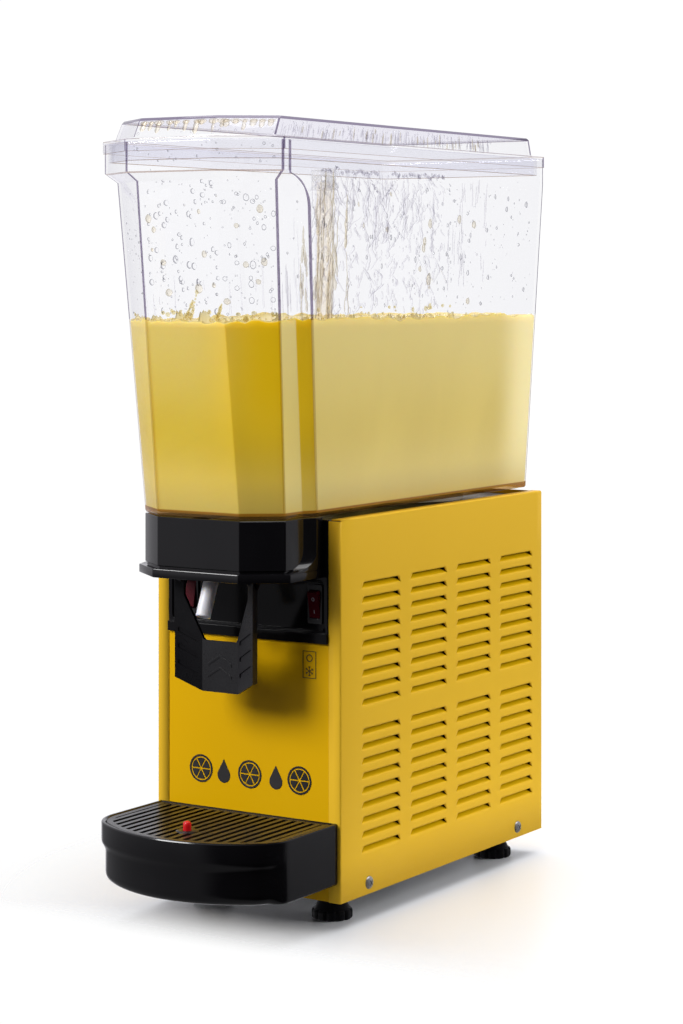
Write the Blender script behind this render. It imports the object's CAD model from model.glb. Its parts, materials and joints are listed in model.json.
"""Looks for the chilled juice dispenser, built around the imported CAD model.

Shapes are in millimetres, with depths measured from the front face of the cabinet, as in the CAD
source, and at() turns them into the shared frame, in metres. Materials, lights, camera and floor
are in that frame.
"""
import json
import math
import random
from contextlib import contextmanager
from functools import partial

import bmesh
import bpy
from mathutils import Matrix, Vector, noise

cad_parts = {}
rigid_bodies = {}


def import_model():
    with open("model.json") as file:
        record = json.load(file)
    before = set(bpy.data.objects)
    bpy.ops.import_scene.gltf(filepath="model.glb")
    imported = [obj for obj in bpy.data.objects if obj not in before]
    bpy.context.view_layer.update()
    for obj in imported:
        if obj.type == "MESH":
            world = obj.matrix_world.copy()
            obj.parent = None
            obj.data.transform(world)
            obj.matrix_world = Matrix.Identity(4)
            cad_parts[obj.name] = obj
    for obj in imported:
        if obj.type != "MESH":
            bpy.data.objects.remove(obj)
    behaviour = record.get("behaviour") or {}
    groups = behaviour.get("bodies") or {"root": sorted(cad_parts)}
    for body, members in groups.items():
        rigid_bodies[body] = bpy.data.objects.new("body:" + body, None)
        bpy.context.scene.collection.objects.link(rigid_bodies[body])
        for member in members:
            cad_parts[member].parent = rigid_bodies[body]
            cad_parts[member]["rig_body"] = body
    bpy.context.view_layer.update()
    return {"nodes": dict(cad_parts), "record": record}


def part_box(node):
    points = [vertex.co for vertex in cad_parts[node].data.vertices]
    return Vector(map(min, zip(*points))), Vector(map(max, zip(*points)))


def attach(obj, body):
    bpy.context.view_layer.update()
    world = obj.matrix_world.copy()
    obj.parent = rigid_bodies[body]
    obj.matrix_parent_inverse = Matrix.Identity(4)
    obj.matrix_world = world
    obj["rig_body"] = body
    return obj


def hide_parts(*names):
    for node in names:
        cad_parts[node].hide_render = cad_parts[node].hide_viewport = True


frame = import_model()
NODES = frame["nodes"]
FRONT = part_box("left_side_panel")[0].y
SLOT_OF = {s["node"]: s["material_slot"] for s in frame["record"]["subparts"]}


def at(p):
    return Vector((p[0] / 1000, p[1] / 1000 + FRONT, p[2] / 1000))


def clamp(v, lo=0.0, hi=1.0):
    return max(lo, min(hi, v))


def smooth(v):
    v = clamp(v)
    return v * v * (3 - 2 * v)


def mix(a, b, t):
    return a + (b - a) * t


# ------------------------------------------------------------------ materials


def new_material(name):
    m = bpy.data.materials.new(name)
    m.use_nodes = True
    m.node_tree.nodes.clear()
    return m, m.node_tree


def node(tree, kind, inputs=None, **props):
    n = tree.nodes.new("ShaderNode" + kind)
    for key, value in props.items():
        setattr(n, key, value)
    for key, value in (inputs or {}).items():
        if isinstance(value, bpy.types.NodeSocket):
            tree.links.new(value, n.inputs[key])
        else:
            n.inputs[key].default_value = value
    return n


def finish_material(tree, shader, kind="Material"):
    out = tree.nodes.new("ShaderNodeOutput" + kind)
    tree.links.new(shader, out.inputs["Surface"])


def calc(tree, operation, *values):
    return node(tree, "Math", dict(enumerate(values)), operation=operation).outputs[0]


def along(tree, vector, direction):
    """How far a vector runs along a direction."""
    n = node(tree, "VectorMath", {0: vector, 1: direction}, operation="DOT_PRODUCT")
    return n.outputs["Value"]


def object_place(tree):
    return node(tree, "TexCoord").outputs["Object"]


def noise_of(tree, scale, detail=3.0, stretch=None, distortion=0.0):
    coord = object_place(tree)
    if stretch:
        coord = node(tree, "Mapping", {"Vector": coord, "Scale": stretch}).outputs[0]
    return node(tree, "TexNoise", {"Vector": coord, "Scale": scale, "Detail": detail,
                                   "Roughness": 0.5, "Distortion": distortion}).outputs[0]


def ramp(tree, value, lo, hi, out_lo=0.0, out_hi=1.0, kind="SMOOTHSTEP"):
    return node(tree, "MapRange", {"Value": value, "From Min": lo, "From Max": hi,
                                   "To Min": out_lo, "To Max": out_hi},
                interpolation_type=kind).outputs[0]


def shade(colour, k):
    return tuple(clamp(c * k) for c in colour) + (1.0,)


def blend_colour(tree, fac, a, b):
    return node(tree, "Mix", {0: fac, 6: a, 7: b}, data_type="RGBA").outputs[2]


def blend_shader(tree, fac, a, b):
    return node(tree, "MixShader", {0: fac, 1: a, 2: b}).outputs[0]


def bump_of(tree, height, strength, distance=0.0004):
    return node(tree, "Bump", {"Strength": strength, "Distance": distance,
                               "Height": height}).outputs[0]


def surface(name, colour, rough, metallic=0.0, specular=0.5, vary=0.12, patch=14.0, grain=600.0,
            bump=0.05, wobble=0.0, stretch=None, subsurface=0.0):
    """Opaque material: colour and roughness vary softly, with a fine grain in the bump."""
    m, tree = new_material(name)
    patches = noise_of(tree, patch, 4.0, stretch)
    fine = noise_of(tree, grain, 2.0, stretch)
    base = blend_colour(tree, ramp(tree, patches, 0.3, 0.7), shade(colour, 1 - vary),
                        shade(colour, 1 + vary))
    both = calc(tree, "MULTIPLY", patches, fine)
    height = calc(tree, "MULTIPLY_ADD", noise_of(tree, 22.0, 1.0), wobble, fine) if wobble else fine
    inputs = {"Base Color": base, "Metallic": metallic, "Specular IOR Level": specular,
              "Roughness": ramp(tree, both, 0.12, 0.42, rough * 0.7, rough * 1.3),
              "Normal": bump_of(tree, height, bump)}
    if subsurface:
        inputs.update({"Subsurface Weight": subsurface, "Subsurface Radius": (1.0, 0.8, 0.6),
                       "Subsurface Scale": 0.004})
    finish_material(tree, node(tree, "BsdfPrincipled", inputs).outputs[0])
    return m


def paint(name, colour):
    """Powder coat: soft patches, a fine grain and a slight waviness of the sheet under it."""
    m, tree = new_material(name)
    fine = noise_of(tree, 1500.0, 2.0)
    height = calc(tree, "MULTIPLY_ADD", noise_of(tree, 22.0, 1.0), 0.35, fine)
    patches = ramp(tree, noise_of(tree, 5.0), 0.3, 0.7, 0.0, 0.05)
    shader = node(tree, "BsdfPrincipled", {
        "Base Color": blend_colour(tree, patches, colour + (1.0,), (0.9, 0.62, 0.05, 1)),
        "Roughness": ramp(tree, fine, 0.25, 0.75, 0.3, 0.42), "Specular IOR Level": 0.1,
        "Normal": bump_of(tree, height, 0.1)})
    finish_material(tree, shader.outputs[0])
    return m


# How moulded plastic and wet juice differ: the bump's noise, strength and depth, where the rim
# begins and ends, roughness, index of refraction, and the noise, range and shares of the cloud.
MOULDED = {"grain": 40.0, "bump": (0.03, 0.0006), "rim": (0.6, 1.0), "rough": (0.024, 0.06),
           "ior": 1.5, "patches": (25.0, 5.0), "span": (0.35, 0.75), "share": (0.4, 1.6)}
WET = {"grain": 220.0, "bump": (0.3, 0.0008), "rim": (0.48, 0.86), "rough": (0.02, 0.08),
       "ior": 1.33, "patches": (60.0, 4.0), "span": (0.3, 0.7), "share": (0.5, 1.5)}


def see_through(kind, name, tint, rim_tint, cloud=0.0, cloud_colour=(1.0, 1.0, 1.0), glow=0.0):
    """Clear in the middle, darker where it is seen along its surface, cloudy by an amount."""
    m, tree = new_material(name)
    fine = noise_of(tree, kind["grain"])
    bumps = bump_of(tree, fine, *kind["bump"])
    facing = node(tree, "LayerWeight", {"Blend": 0.5, "Normal": bumps}).outputs["Facing"]
    through = blend_colour(tree, ramp(tree, facing, *kind["rim"]), tint + (1.0,), rim_tint + (1.0,))
    body = node(tree, "BsdfTransparent", {"Color": through}).outputs[0]
    if cloud:
        colour = cloud_colour + (1.0,)
        haze = node(tree, "BsdfDiffuse", {"Color": colour}).outputs[0]
        if glow:
            shine = node(tree, "Emission", {"Color": colour, "Strength": glow}).outputs[0]
            haze = node(tree, "AddShader", {0: haze, 1: shine}).outputs[0]
        low, high = (min(1.0, cloud * share) for share in kind["share"])
        amount = ramp(tree, noise_of(tree, *kind["patches"]), *kind["span"], low, high)
        body = blend_shader(tree, amount, body, haze)
    gloss = node(tree, "BsdfGlossy", {"Color": (1, 1, 1, 1), "Normal": bumps, "Roughness":
                                      ramp(tree, fine, 0.3, 0.7, *kind["rough"])}).outputs[0]
    fresnel = node(tree, "Fresnel", {"IOR": kind["ior"], "Normal": bumps}).outputs[0]
    inside = node(tree, "NewGeometry").outputs["Backfacing"]
    outside_only = ramp(tree, inside, 0.0, 1.0, fresnel, 0.0, "LINEAR")
    finish_material(tree, blend_shader(tree, outside_only, body, gloss))
    return m


clear = partial(see_through, MOULDED)
wet = partial(see_through, WET)


def juice_material(name):
    """Cloudy juice: paler under the foam and where light comes through at the rear corner."""
    m, tree = new_material(name)
    where = node(tree, "SeparateXYZ", {0: object_place(tree)}).outputs
    normal = node(tree, "NewGeometry").outputs["Normal"]

    def facing(direction, lo, hi):
        return ramp(tree, along(tree, normal, direction), lo, hi)

    clouds = noise_of(tree, 7.0, 4.0, (1, 1, 0.5), 0.8)
    base = blend_colour(tree, ramp(tree, clouds, 0.35, 0.68), (0.58, 0.40, 0.014, 1),
                        (0.66, 0.47, 0.035, 1))
    top = ramp(tree, where["Z"], 0.40, 0.51, 0.0, 0.75)
    rear = ramp(tree, where["Y"], FRONT + 0.28, FRONT + 0.352)
    low = ramp(tree, where["Z"], 0.345, 0.43, 0.65, 0.0)
    deep = calc(tree, "MULTIPLY", facing((0.56, -0.83, 0.0), 0.45, 1.0),
                ramp(tree, where["X"], -0.005, 0.068))
    deep = calc(tree, "MULTIPLY", deep, ramp(tree, where["Z"], 0.35, 0.46, 0.25, 1.0))
    for mask, colour in ((top, (0.70, 0.55, 0.16, 1)), (rear, (0.86, 0.72, 0.34, 1)),
                         (low, (0.70, 0.54, 0.17, 1)), (deep, (0.66, 0.42, 0.006, 1))):
        base = blend_colour(tree, mask, base, colour)
    aside = facing((1, 0, 0), 0.9, 0.99)
    glow = blend_colour(tree, aside, base, (0.80, 0.74, 0.40, 1))
    strength = ramp(tree, low, 0.0, 0.65, 0.16, 0.30)
    for mask, level in ((deep, 0.42), (aside, 0.24), (rear, 0.42)):
        strength = ramp(tree, mask, 0.0, 1.0, strength, level)
    base = blend_colour(tree, facing((0, 0, 1), 0.35, 0.75), base, (0.46, 0.37, 0.15, 1))
    fine = noise_of(tree, 260.0, 2.0)
    shader = node(tree, "BsdfPrincipled", {
        "Base Color": base, "Roughness": ramp(tree, fine, 0.3, 0.7, 0.3, 0.45),
        "Normal": bump_of(tree, fine, 0.12, 0.001), "Specular IOR Level": 0.1,
        "Subsurface Weight": 0.35, "Subsurface Radius": (1.0, 0.7, 0.15),
        "Subsurface Scale": 0.012, "Emission Color": glow, "Emission Strength": strength})
    finish_material(tree, shader.outputs[0])
    return m


MAT = {
    "painted_steel": paint("yellow_powder_coat", (0.825, 0.495, 0.027)),
    "painted_front": paint("deep_yellow_powder_coat", (0.78, 0.435, 0.0)),
    "painted_recess": paint("recessed_yellow_coat", (0.78, 0.46, 0.0)),
    "galvanised_steel": surface("zinc_plated_steel", (0.55, 0.56, 0.57), 0.38, metallic=1.0,
                                patch=60.0, grain=300.0),
    "black_gloss": surface("gloss_black_abs", (0.0045, 0.0042, 0.0052), 0.13, vary=0.1,
                           patch=30.0, grain=700.0, bump=0.02, wobble=0.6),
    "black_fascia": surface("black_fascia", (0.0035, 0.0033, 0.0042), 0.16, vary=0.1,
                            specular=0.2, patch=30.0, grain=700.0, bump=0.02),
    "black_satin": surface("satin_black_abs", (0.0052, 0.0049, 0.0064), 0.34, vary=0.15,
                           grain=2200.0, bump=0.12),
    "black_rubber": surface("black_rubber", (0.005, 0.005, 0.006), 0.5, vary=0.2,
                            specular=0.2, grain=900.0, bump=0.2),
    "screw_zinc": surface("bright_zinc", (0.42, 0.42, 0.43), 0.3, metallic=0.7, vary=0.08,
                          grain=600.0),
    "stainless": surface("stainless_steel", (0.62, 0.62, 0.63), 0.24, metallic=1.0, vary=0.08,
                         grain=500.0, stretch=(1, 1, 8)),
    "compressor_enamel": surface("black_enamel", (0.012, 0.012, 0.013), 0.28, vary=0.2),
    "copper": surface("bare_copper", (0.72, 0.36, 0.20), 0.3, metallic=1.0, vary=0.2, patch=40.0),
    "foam": surface("cut_foam", (0.80, 0.70, 0.42), 0.9, vary=0.1, grain=260.0, bump=0.6),
    "white_silicone": surface("white_silicone", (0.80, 0.79, 0.82), 0.32, vary=0.03,
                              grain=500.0, subsurface=0.35),
    "white_plastic": surface("white_plastic", (0.78, 0.77, 0.76), 0.25, vary=0.03),
    "ferrite": surface("ferrite", (0.05, 0.05, 0.055), 0.5, vary=0.25, grain=900.0),
    "black_nylon": surface("black_nylon", (0.010, 0.010, 0.011), 0.42, vary=0.2,
                           grain=1500.0, bump=0.12),
    "red_plastic": surface("red_plastic", (0.085, 0.0015, 0.008), 0.35, specular=0.08,
                           grain=900.0, subsurface=0.1),
    "black_print": surface("black_print", (0.012, 0.010, 0.010), 0.5, vary=0.2, grain=1200.0),
    "clear_polycarbonate": clear("clear_polycarbonate", (0.994, 0.994, 1.0), (0.92, 0.91, 0.96)),
    "clear_edge": clear("clear_edge", (0.30, 0.26, 0.36), (0.20, 0.17, 0.25)),
    "clear_edge_low": clear("clear_edge_low", (0.74, 0.68, 0.60), (0.62, 0.56, 0.50)),
    "clear_tint": clear("clear_tint", (0.97, 0.97, 0.99), (0.93, 0.93, 0.97)),
    "clear_line": clear("clear_line", (0.62, 0.52, 0.48), (0.45, 0.38, 0.38)),
    "clear_base": clear("clear_base", (0.62, 0.40, 0.16), (0.30, 0.18, 0.08), cloud=0.15,
                        cloud_colour=(0.45, 0.25, 0.06)),
    "juice": juice_material("cloudy_juice"),
    "juice_thin": wet("thin_juice", (0.99, 0.975, 0.94), (0.95, 0.91, 0.83), 0.10,
                      (0.86, 0.76, 0.58), 0.6),
    "drop": wet("clear_drops", (0.995, 0.995, 1.0), (0.80, 0.80, 0.82)),
    "drop_rim": wet("clear_drop_rims", (0.50, 0.50, 0.53), (0.38, 0.38, 0.41)),
    "run": wet("clear_runs", (0.99, 0.99, 1.0), (0.80, 0.80, 0.82)),
    "run_rim": wet("clear_run_rims", (0.80, 0.79, 0.82), (0.68, 0.67, 0.71)),
    "film": wet("pulpy_runs", (0.95, 0.92, 0.84), (0.88, 0.84, 0.75), 0.3, (0.76, 0.68, 0.54), 0.5),
    "film_rim": wet("pulpy_run_rims", (0.68, 0.64, 0.56), (0.58, 0.54, 0.46)),
    "foam_juice": wet("foamy_juice", (0.97, 0.93, 0.72), (0.86, 0.78, 0.50), 0.68,
                      (0.62, 0.52, 0.26), 0.42),
    "foam_rim": wet("foam_bubble_rims", (0.86, 0.78, 0.52), (0.76, 0.66, 0.40)),
    "frosted": wet("frosted_nozzle", (0.96, 0.96, 0.97), (0.78, 0.78, 0.80), 0.25,
                   (0.85, 0.85, 0.86), 0.2),
    "bright_red": surface("bright_red_plastic", (0.62, 0.010, 0.012), 0.22, vary=0.08,
                          grain=900.0, subsurface=0.15),
    "white_mark": surface("white_mark", (0.42, 0.42, 0.44), 0.5, vary=0.05),
    "dark_seam": surface("dark_seam", (0.004, 0.004, 0.004), 0.7, vary=0.2),
}


# ------------------------------------------------------------------ mesh tools


def circle(r, count):
    return [(r * math.cos(2 * math.pi * k / count), r * math.sin(2 * math.pi * k / count))
            for k in range(count)]


@contextmanager
def edited(mesh):
    """Opens a mesh for editing, then turns its faces outward and writes it back."""
    bm = bmesh.new()
    bm.from_mesh(mesh)
    yield bm
    bmesh.ops.recalc_face_normals(bm, faces=bm.faces)
    bm.to_mesh(mesh)
    bm.free()


class Shape:
    """Collects points, in millimetres, and faces, each with the number of its material."""

    def __init__(self):
        self.points = []
        self.faces = []
        self.marks = []

    def add(self, points):
        start = len(self.points)
        self.points.extend(tuple(p) for p in points)
        return list(range(start, len(self.points)))

    def face(self, corners, mark=0):
        self.faces.append(tuple(corners))
        self.marks.append(mark)

    def bridge(self, a, b, mark=0, closed=True):
        for i in range(len(a) if closed else len(a) - 1):
            j = (i + 1) % len(a)
            self.face((a[i], a[j], b[j], b[i]), mark[i] if isinstance(mark, list) else mark)

    def skin(self, rings, mark=0, caps=(False, False), closed=True):
        ids = [self.add(r) for r in rings]
        for a, b in zip(ids, ids[1:]):
            self.bridge(a, b, mark, closed)
        if caps[0]:
            self.face(reversed(ids[0]))
        if caps[1]:
            self.face(ids[-1])
        return ids

    def solid(self, rings):
        self.skin(rings, caps=(True, True))
        return self

    def block(self, x, y, z):
        return self.solid([[(x[0], y[0], h), (x[1], y[0], h), (x[1], y[1], h), (x[0], y[1], h)]
                           for h in z])

    def prism(self, outline, lo, hi, axis="z"):
        """A solid from an outline: along z, or along y or x for outlines in x-z or y-z."""
        turn = {"z": lambda p, h: (p[0], p[1], h), "y": lambda p, h: (p[0], h, p[1]),
                "x": lambda p, h: (h, p[0], p[1])}[axis]
        return self.solid([[turn(p, h) for p in outline] for h in (lo, hi)])

    def lathe(self, profile, centre, axis="z", count=40, scale=None):
        """profile is a list of (radius, height) that starts and ends on the axis or is closed."""
        rings = []
        for r, h in profile:
            ring = []
            for i in range(count):
                a = 2 * math.pi * i / count
                k = scale(a, h) if scale else 1.0
                u, v = r * k * math.cos(a), r * k * math.sin(a)
                offset = {"z": (u, v, h), "x": (h, u, v)}[axis]
                ring.append(tuple(c + o for c, o in zip(centre, offset)))
            rings.append(ring)
        return self.skin(rings, caps=(profile[0][0] > 0, profile[-1][0] > 0))

    def loop_of_rings(self, rings):
        """Joins rings one after another and the last one to the first, as a closed band."""
        ids = [self.add(ring) for ring in rings]
        for a, b in zip(ids, ids[1:] + ids[:1]):
            self.bridge(a, b)

    def mesh(self, name, merge=1e-6, clean=True):
        """A mesh of the shape. Left unclean, its points keep their order and its faces their turn."""
        mesh = bpy.data.meshes.new(name)
        mesh.from_pydata([at(p) for p in self.points], [], self.faces)
        mesh.polygons.foreach_set("material_index", self.marks)
        if clean:
            with edited(mesh) as bm:
                if merge:
                    bmesh.ops.remove_doubles(bm, verts=bm.verts, dist=merge)
                    bmesh.ops.dissolve_degenerate(bm, edges=bm.edges, dist=merge)
        return mesh


def fill_between(mesh, *groups):
    """Closes the gap between the open loops of each group of points, then cleans the mesh."""
    with edited(mesh) as bm:
        for group in groups:
            chosen = set(group)
            edges = [e for e in bm.edges if e.is_boundary and {v.index for v in e.verts} <= chosen]
            for part in bmesh.ops.triangle_fill(bm, edges=edges, use_beauty=True)["geom"]:
                if isinstance(part, bmesh.types.BMFace):
                    part.material_index = 0
        bmesh.ops.remove_doubles(bm, verts=bm.verts, dist=2e-6)
        bmesh.ops.dissolve_degenerate(bm, edges=bm.edges, dist=1e-6)


def new_object(name, data):
    obj = bpy.data.objects.new(name, data)
    bpy.context.scene.collection.objects.link(obj)
    return obj


def place(name, mesh, body, materials, slot=None, stands_for=(), bevel=0.0, segments=2,
          solid=0.0, degrees=32):
    """Makes a piece from a finished mesh and lets it ride on its CAD body. Its slot is that of
    its first material, unless another is given."""
    obj = new_object(name, mesh)
    for m in materials:
        mesh.materials.append(MAT[m])
    mesh.polygons.foreach_set("use_smooth", [True] * len(mesh.polygons))
    mesh.set_sharp_from_angle(angle=math.radians(degrees))
    if solid:
        mod = obj.modifiers.new("thickness", "SOLIDIFY")
        mod.thickness = solid / 1000
        mod.offset = -1
        mod.use_even_offset = False
        mod.material_offset = 1
    if bevel:
        mod = obj.modifiers.new("edges", "BEVEL")
        mod.width = bevel / 1000
        mod.segments = segments
        mod.limit_method = "ANGLE"
        mod.angle_limit = math.radians(degrees)
        mod.harden_normals = True
        mod.use_clamp_overlap = True
    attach(obj, body)
    if stands_for:
        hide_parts(*stands_for)


def piece(name, shape, body, materials, merge=1e-6, **more):
    place(name, shape.mesh(name, merge), body, materials, **more)


def carve(mesh, *cutters):
    """Cuts closed shapes out of a closed mesh."""
    obj = new_object("carved", mesh)
    made = [new_object("cutter", shape.mesh("cutter")) for shape in cutters]
    for tool in made:
        mod = obj.modifiers.new("cut", "BOOLEAN")
        mod.operation = "DIFFERENCE"
        mod.solver = "EXACT"
        mod.object = tool
    bpy.context.view_layer.update()
    graph = bpy.context.evaluated_depsgraph_get()
    result = bpy.data.meshes.new_from_object(obj.evaluated_get(graph))
    for o in [obj, *made]:
        bpy.data.objects.remove(o)
    join_flat_faces(result)
    return result


def join_flat_faces(mesh):
    with edited(mesh) as bm:
        bmesh.ops.remove_doubles(bm, verts=bm.verts, dist=2e-6)
        bmesh.ops.dissolve_limit(bm, angle_limit=math.radians(0.6), verts=bm.verts,
                                 edges=bm.edges, delimit={"MATERIAL"})


def cad_copy(name, source, bevel, look=None):
    """A copy of a CAD node's mesh with softened edges, which stands for the node."""
    mesh = NODES[source].data.copy()
    mesh.materials.clear()
    join_flat_faces(mesh)
    mesh.name = name
    place(name, mesh, NODES[source]["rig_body"], [look or SLOT_OF[source]], slot=SLOT_OF[source],
          stands_for=(source,), bevel=bevel, degrees=30)


def fillet(corners, radii, n=4, splits=None):
    """Rounds the corners of a closed outline. Every corner gets n + 1 points, and each straight
    run can be split, so that outlines of the same kind can be joined."""
    ends = []
    for i, corner in enumerate(corners):
        b = Vector(corner)
        u = Vector(corners[i - 1]) - b
        v = Vector(corners[(i + 1) % len(corners)]) - b
        if u.length < 1e-4 or v.length < 1e-4:
            ends.append([b] * (n + 1))
            continue
        radius = radii[i] if isinstance(radii, list) else radii
        t = min(radius / max(math.tan(u.angle(v) / 2), 1e-3), 0.48 * u.length, 0.48 * v.length)
        p, q = b + u.normalized() * t, b + v.normalized() * t
        ends.append([p * (1 - s) ** 2 + b * 2 * s * (1 - s) + q * s * s
                     for s in (k / n for k in range(n + 1))])
    points = []
    for i, rounded in enumerate(ends):
        points.extend(rounded)
        parts = splits[i] if splits else 1
        points.extend(rounded[-1].lerp(ends[(i + 1) % len(ends)][0], k / parts)
                      for k in range(1, parts))
    return points


def lift(outline, z):
    return [(p[0], p[1], z) for p in outline]


def mirrored(half):
    """A closed outline from its right half, which runs from the front to the rear."""
    return [(-half[0][0], half[0][1])] + list(half) + [(-x, y) for x, y in reversed(half[1:])]


# ------------------------------------------------------------------ cabinet

BODY_D = 354.0
HALF_W = 95.0
PANEL_Z = (23.0, 343.7)
SHEET = 1.2
FOLD = 1.6
CELL_Y, CELL_Z = 79.5, 12.42
CELL_OVER = 3.7
CELL_ROWS, BLANK_ROW = 19, 9
CELL_COLUMNS = 4
LOUVRE_Y0, LOUVRE_TOP = 32.9, 288.3
LOUVRE_LEN, LOUVRE_H, LOUVRE_DEPTH = 63.0, 5.0, 5.0
LOUVRE_LIP, LOUVRE_EASE = 0.55, 7.0
LOUVRE_GAP = 1.2
SEG_Y, SEG_Z = 16, 6


def louvre_ring(y0, z, grow):
    """Points round one opening, in step with the points round its cell."""
    y1, y2 = y0 - grow, y0 + LOUVRE_LEN + grow
    lo, hi = z - LOUVRE_H - grow, z + grow * 0.8
    taper, r = 3.0, 1.9
    bottom = [(mix(y1, y2, i / SEG_Y), lo) for i in range(SEG_Y)]
    right = [(mix(y2, y2 - taper, i / SEG_Z), mix(lo, hi, i / SEG_Z)) for i in range(SEG_Z)]
    top = [(mix(y2 - taper, y1 + taper, i / SEG_Y), hi) for i in range(SEG_Y)]
    left = [(mix(y1 + taper, y1, i / SEG_Z), mix(hi, lo, i / SEG_Z)) for i in range(SEG_Z)]
    right[-2:] = [(y2 - taper + 0.75, hi - r), (y2 - taper + 0.35, hi - 0.85)]
    top[:2] = [(y2 - taper - 0.45, hi - 0.2), (y2 - taper - 2.4, hi)]
    top[-1] = (y1 + taper + 2.4, hi)
    left[:3] = [(y1 + taper + 0.45, hi - 0.2), (y1 + taper - 0.35, hi - 0.85),
                (y1 + taper - 0.75, hi - r)]
    return bottom + right + top + left


def side_panel(sign):
    """Right-hand or left-hand panel: louvres pressed inward, folded front, rear and top edges."""
    shape = Shape()
    grid = {}

    def point(y, z, depth=0.0):
        return (sign * (HALF_W - depth), y, z)

    def corner(y, z):
        key = (round(y, 3), round(z, 3))
        if key not in grid:
            grid[key] = shape.add([point(y, z)])[0]
        return grid[key]

    def flat(ys, zs, skip=lambda y, z: False):
        for a, b in zip(ys, ys[1:]):
            for c, d in zip(zs, zs[1:]):
                if not skip((a + b) / 2, (c + d) / 2):
                    shape.face((corner(a, c), corner(b, c), corner(b, d), corner(a, d)))

    def extend(line, new):
        new = shape.add(new)
        shape.bridge(line, new, closed=False)
        return new

    def louvre(y_slot, z_top, border):
        def pressed(y):
            return smooth(min(y - y_slot, y_slot + LOUVRE_LEN - y) / LOUVRE_EASE)

        near = shape.add(point(y, z) for y, z in louvre_ring(y_slot, z_top, 1.7))
        hole = shape.add(point(y, z, LOUVRE_LIP * pressed(y) if i <= SEG_Y else 0.0)
                         for i, (y, z) in enumerate(louvre_ring(y_slot, z_top, 0.0)))
        shape.bridge(border, near)
        shape.bridge(near, hole)
        below = hole[:SEG_Y + 1]
        for t in (0.12, 0.3, 0.55, 0.8, 1.0):
            depth = mix(LOUVRE_LIP, LOUVRE_DEPTH, t)
            z = z_top - LOUVRE_H + (LOUVRE_H - LOUVRE_GAP) * t
            inset = 2.8 * t + (0.9 if t == 1.0 else 0.0)
            ys = [mix(y_slot + inset, y_slot + LOUVRE_LEN - 1.5 * inset, i / SEG_Y)
                  for i in range(SEG_Y + 1)]
            line = shape.add(point(y, z, depth - LOUVRE_LIP * (1 - pressed(y))) for y in ys)
            shape.bridge(below, line, 2, closed=False)
            below = line

    first_y = LOUVRE_Y0 - (CELL_Y - LOUVRE_LEN) / 2
    low_z = LOUVRE_TOP + CELL_OVER - CELL_ROWS * CELL_Z
    columns = [first_y + CELL_Y * i / SEG_Y for i in range(CELL_COLUMNS * SEG_Y + 1)]
    rows = [low_z + CELL_Z * i / SEG_Z for i in range(CELL_ROWS * SEG_Z + 1)]
    for row in range(CELL_ROWS):
        z_top = LOUVRE_TOP - row * CELL_Z
        lo = z_top + CELL_OVER - CELL_Z
        zs = [lo + CELL_Z * i / SEG_Z for i in range(SEG_Z + 1)]
        for col in range(CELL_COLUMNS):
            ys = [first_y + col * CELL_Y + CELL_Y * i / SEG_Y for i in range(SEG_Y + 1)]
            if row == BLANK_ROW:
                flat(ys, zs)
                continue
            border = ([corner(y, lo) for y in ys[:-1]] + [corner(ys[-1], z) for z in zs[:-1]]
                      + [corner(y, zs[-1]) for y in reversed(ys[1:])]
                      + [corner(ys[0], z) for z in reversed(zs[1:])])
            louvre(LOUVRE_Y0 + col * CELL_Y, z_top, border)
    y_lines = [FOLD] + columns + [BODY_D - FOLD]
    z_lines = [PANEL_Z[0]] + rows + [PANEL_Z[1] - FOLD]
    flat(y_lines, z_lines, lambda y, z: columns[0] < y < columns[-1] and rows[0] < z < rows[-1])
    arc = [(FOLD * (1 - math.cos(a)), FOLD * (1 - math.sin(a)))
           for a in (math.radians(d) for d in (22.5, 45, 67.5, 90))]
    for start, away in ((FOLD, -1), (BODY_D - FOLD, 1)):
        line = [corner(start, z) for z in z_lines]
        for depth, gap in arc:
            line = extend(line, [point(start + away * (FOLD - gap), z, depth) for z in z_lines])
        extend(line, [point(start + away * FOLD, z, 12.0) for z in z_lines])
    line = [corner(y, z_lines[-1]) for y in y_lines]
    for depth, gap in arc:
        line = extend(line, [point(y, PANEL_Z[1] - gap, depth) for y in y_lines])
    extend(line, [point(y, PANEL_Z[1], 10.0) for y in y_lines])
    mesh = shape.mesh("side")
    if max(mesh.polygons, key=lambda f: f.area).normal.x * sign < 0:
        mesh.flip_normals()
    side = "right" if sign > 0 else "left"
    place(side + "_side_sheet", mesh, "cabinet",
          ["painted_steel", "dark_seam", "painted_recess", "dark_seam"],
          stands_for=(side + "_side_panel",), solid=SHEET, degrees=50)
    cover = Shape().block((sign * 87.6, sign * 88.4), (12, 342), (46, 302))
    piece(side + "_dust_filter", cover, "cabinet", ["dark_seam"])


for hand in (1, -1):
    side_panel(hand)


def screws():
    """Four pan-head screws, each with a cross cut into its head."""
    z = 32.6
    profile = [(0.0, 2.5), (2.0, 2.45), (3.6, 2.1), (4.8, 1.4), (5.4, 0.6), (5.5, 0.0),
               (2.2, 0.0), (2.2, -6.0), (0.0, -6.4)]
    heads, slots = Shape(), []
    for s, y in ((-1, 44.5), (-1, 305.4), (1, 44.5), (1, 305.4)):
        heads.lathe([(r, s * h) for r, h in profile], (s * HALF_W, y, z), "x", 32)
        for a in (45, 135):
            c, d = math.cos(math.radians(a)), math.sin(math.radians(a))
            bar = [(y + u * c - v * d, z + u * d + v * c)
                   for u, v in ((-3, -0.6), (3, -0.6), (3, 0.6), (-3, 0.6))]
            slots.append(Shape().prism(bar, s * (HALF_W + 1.1), s * (HALF_W + 4.0), "x"))
    place("cover_screws", carve(heads.mesh("screws"), *slots), "cabinet", ["screw_zinc"],
          slot="stainless", stands_for=("panel_screws",), bevel=0.15, degrees=35)


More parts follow.
